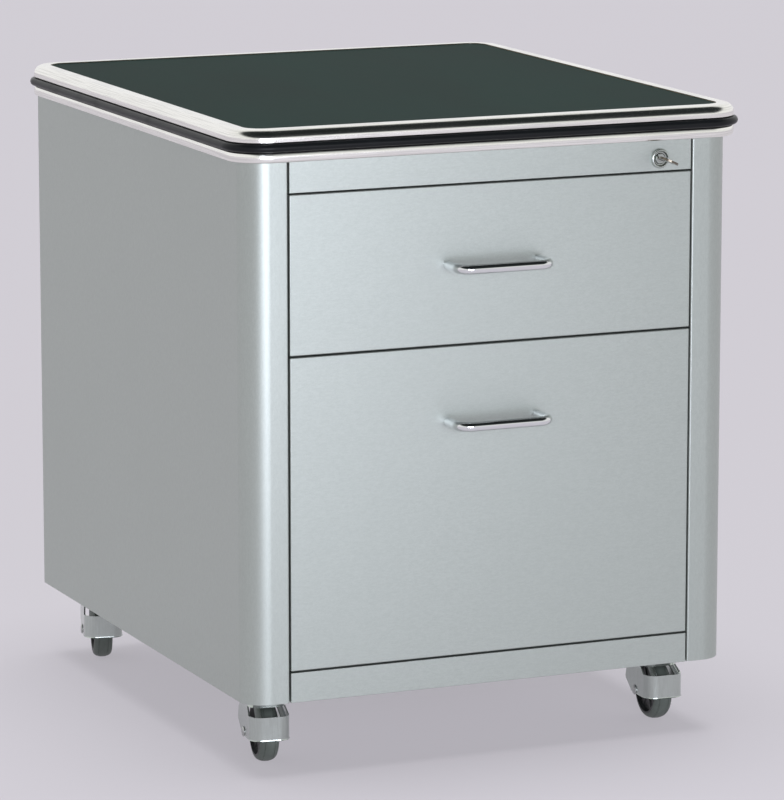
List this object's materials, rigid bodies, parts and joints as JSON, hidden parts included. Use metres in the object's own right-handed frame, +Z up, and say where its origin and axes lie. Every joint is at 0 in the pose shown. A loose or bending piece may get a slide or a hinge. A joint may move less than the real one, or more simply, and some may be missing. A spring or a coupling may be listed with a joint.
{
  "type": "metal filing cabinet",
  "caption": "Low brushed-steel pedestal with a box drawer over a file drawer, cam lock, bumper-edged dark top and swivel casters.",
  "frame": {"origin": "on the floor, under the middle of the whole cabinet's outline", "axes": "+X to the right seen from the front, +Y from the drawer fronts to the back, +Z up"},
  "size_m": [0.5368, 0.6354, 0.6261],
  "materials": {
    "case_steel": "fine brushed, clear coated",
    "inner_steel": "satin grey powder coat",
    "zinc_steel": "zinc plated",
    "chrome": "bright plated",
    "polished_trim": "polished",
    "black_vinyl": "satin",
    "linoleum": "dark green-black sheet, satin",
    "board": "particle board, unfinished",
    "tyre": "moulded, satin"
  },
  "bodies": {
    "case": {"left_side_panel": "case_steel", "right_side_panel": "case_steel", "back_panel": "case_steel", "bottom_pan": "inner_steel", "top_deck": "inner_steel", "lock_rail": "case_steel", "base_rail": "case_steel", "front_left_slide_upright": "zinc_steel", "rear_left_slide_upright": "zinc_steel", "front_right_slide_upright": "zinc_steel", "rear_right_slide_upright": "zinc_steel", "worktop_board": "board", "worktop_sheet": "linoleum", "edge_moulding": "polished_trim", "edge_bumper": "black_vinyl", "lock_barrel": "chrome", "upper_left_slide_outer": "zinc_steel", "upper_right_slide_outer": "zinc_steel", "lower_left_slide_outer": "zinc_steel", "lower_right_slide_outer": "zinc_steel", "front_left_caster_plate": "zinc_steel", "front_right_caster_plate": "zinc_steel", "rear_left_caster_plate": "zinc_steel", "rear_right_caster_plate": "zinc_steel"},
    "upper_drawer": {"upper_drawer_front": "case_steel", "upper_front_liner": "inner_steel", "upper_drawer_tray": "inner_steel", "upper_lock_catch": "zinc_steel", "upper_handle": "chrome", "upper_left_slide_inner": "zinc_steel", "upper_right_slide_inner": "zinc_steel"},
    "upper_slide_members": {"upper_left_slide_middle": "zinc_steel", "upper_right_slide_middle": "zinc_steel"},
    "lower_drawer": {"lower_drawer_front": "case_steel", "lower_front_liner": "inner_steel", "lower_drawer_tray": "inner_steel", "lower_lock_catch": "zinc_steel", "lower_handle": "chrome", "lower_left_slide_inner": "zinc_steel", "lower_right_slide_inner": "zinc_steel", "left_file_rail": "zinc_steel", "right_file_rail": "zinc_steel"},
    "lower_slide_members": {"lower_left_slide_middle": "zinc_steel", "lower_right_slide_middle": "zinc_steel"},
    "lock_rotor": {"lock_plug": "chrome", "lock_cam": "zinc_steel"},
    "lock_bar": {"lock_bar": "zinc_steel"},
    "key": {"key": "chrome"},
    "front_left_swivel": {"front_left_caster_fork": "chrome", "front_left_caster_axle": "zinc_steel"},
    "front_left_wheel": {"front_left_caster_wheel": "tyre"},
    "front_right_swivel": {"front_right_caster_fork": "chrome", "front_right_caster_axle": "zinc_steel"},
    "front_right_wheel": {"front_right_caster_wheel": "tyre"},
    "rear_left_swivel": {"rear_left_caster_fork": "chrome", "rear_left_caster_axle": "zinc_steel"},
    "rear_left_wheel": {"rear_left_caster_wheel": "tyre"},
    "rear_right_swivel": {"rear_right_caster_fork": "chrome", "rear_right_caster_axle": "zinc_steel"},
    "rear_right_wheel": {"rear_right_caster_wheel": "tyre"}
  },
  "joints": [
    {"name": "upper_drawer_slide", "type": "slide", "parent": "case", "child": "upper_drawer", "axis": [0, -1, 0], "range_m": [0, 0.45]},
    {"name": "upper_slide_extend", "type": "slide", "parent": "case", "child": "upper_slide_members", "axis": [0, -1, 0], "range_m": [0, 0.225]},
    {"name": "lower_drawer_slide", "type": "slide", "parent": "case", "child": "lower_drawer", "axis": [0, -1, 0], "range_m": [0, 0.45]},
    {"name": "lower_slide_extend", "type": "slide", "parent": "case", "child": "lower_slide_members", "axis": [0, -1, 0], "range_m": [0, 0.225]},
    {"name": "lock_turn", "type": "hinge", "parent": "case", "child": "lock_rotor", "pos_m": [0.1758, -0.2807, 0.5768], "axis": [0, 1, 0], "range_deg": [0, 90]},
    {"name": "lock_bar_drop", "type": "slide", "parent": "case", "child": "lock_bar", "axis": [0, 0, -1], "range_m": [0, 0.008]},
    {"name": "key_pull", "type": "slide", "parent": "lock_rotor", "child": "key", "axis": [0, -1, 0], "range_m": [0, 0.03]},
    {"name": "front_left_swivel_turn", "type": "hinge", "parent": "case", "child": "front_left_swivel", "pos_m": [-0.211, -0.2207, 0.065], "axis": [0, 0, 1], "continuous": true},
    {"name": "front_left_wheel_spin", "type": "hinge", "parent": "front_left_swivel", "child": "front_left_wheel", "pos_m": [-0.20881, -0.20687, 0.03], "axis": [0.9877, -0.1564, 0], "continuous": true},
    {"name": "front_right_swivel_turn", "type": "hinge", "parent": "case", "child": "front_right_swivel", "pos_m": [0.211, -0.2207, 0.065], "axis": [0, 0, 1], "continuous": true},
    {"name": "front_right_wheel_spin", "type": "hinge", "parent": "front_right_swivel", "child": "front_right_wheel", "pos_m": [0.21198, -0.20673, 0.03], "axis": [0.9976, -0.0698, 0], "continuous": true},
    {"name": "rear_left_swivel_turn", "type": "hinge", "parent": "case", "child": "rear_left_swivel", "pos_m": [-0.211, 0.2433, 0.065], "axis": [0, 0, 1], "continuous": true},
    {"name": "rear_left_wheel_spin", "type": "hinge", "parent": "rear_left_swivel", "child": "rear_left_wheel", "pos_m": [-0.20738, 0.25682, 0.03], "axis": [0.9659, -0.2588, 0], "continuous": true},
    {"name": "rear_right_swivel_turn", "type": "hinge", "parent": "case", "child": "rear_right_swivel", "pos_m": [0.211, 0.2433, 0.065], "axis": [0, 0, 1], "continuous": true},
    {"name": "rear_right_wheel_spin", "type": "hinge", "parent": "rear_right_swivel", "child": "rear_right_wheel", "pos_m": [0.20954, 0.25722, 0.03], "axis": [0.9945, 0.1045, 0], "continuous": true}
  ],
  "couplings": [
    {"joint": "upper_slide_extend", "follows": "upper_drawer_slide", "ratio": 0.5},
    {"joint": "lower_slide_extend", "follows": "lower_drawer_slide", "ratio": 0.5},
    {"joint": "lock_turn", "follows": "lock_bar_drop", "rad_per_m": 196.3}
  ]
}
